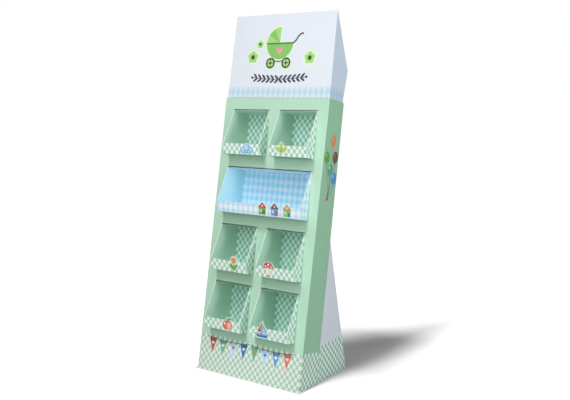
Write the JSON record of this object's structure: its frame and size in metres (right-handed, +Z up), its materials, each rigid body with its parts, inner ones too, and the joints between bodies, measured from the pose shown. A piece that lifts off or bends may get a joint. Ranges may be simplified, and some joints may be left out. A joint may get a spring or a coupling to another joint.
{
  "type": "cardboard floor display stand",
  "caption": "Leaning floor display stand of folded printed board with a plug-in header, sloping trays behind low lips and a wedge support at the back.",
  "frame": {"origin": "on the floor, under the middle of the stand's overall width and depth", "axes": "+X to the right seen from the front, +Y to the back, +Z up; the windows face -Y"},
  "size_m": [0.6, 0.4329, 1.7074],
  "materials": {
    "mint_board": "printed matt board",
    "white_board": "printed matt board",
    "blue_board": "printed matt board",
    "picture_card": "printed smooth card"
  },
  "bodies": {
    "root": {"column": "mint_board", "header_box": "white_board", "rear_support": "white_board", "tray_top_left": "mint_board", "tray_top_right": "mint_board", "tray_wide": "blue_board", "tray_middle_left": "mint_board", "tray_middle_right": "mint_board", "tray_bottom_left": "mint_board", "tray_bottom_right": "mint_board", "card_cloud": "picture_card", "card_sprig": "picture_card", "card_house_left": "picture_card", "card_house_middle": "picture_card", "card_house_right": "picture_card", "card_tulip": "picture_card", "card_toadstool": "picture_card", "card_apple": "picture_card", "card_sailboat": "picture_card"}
  },
  "joints": []
}
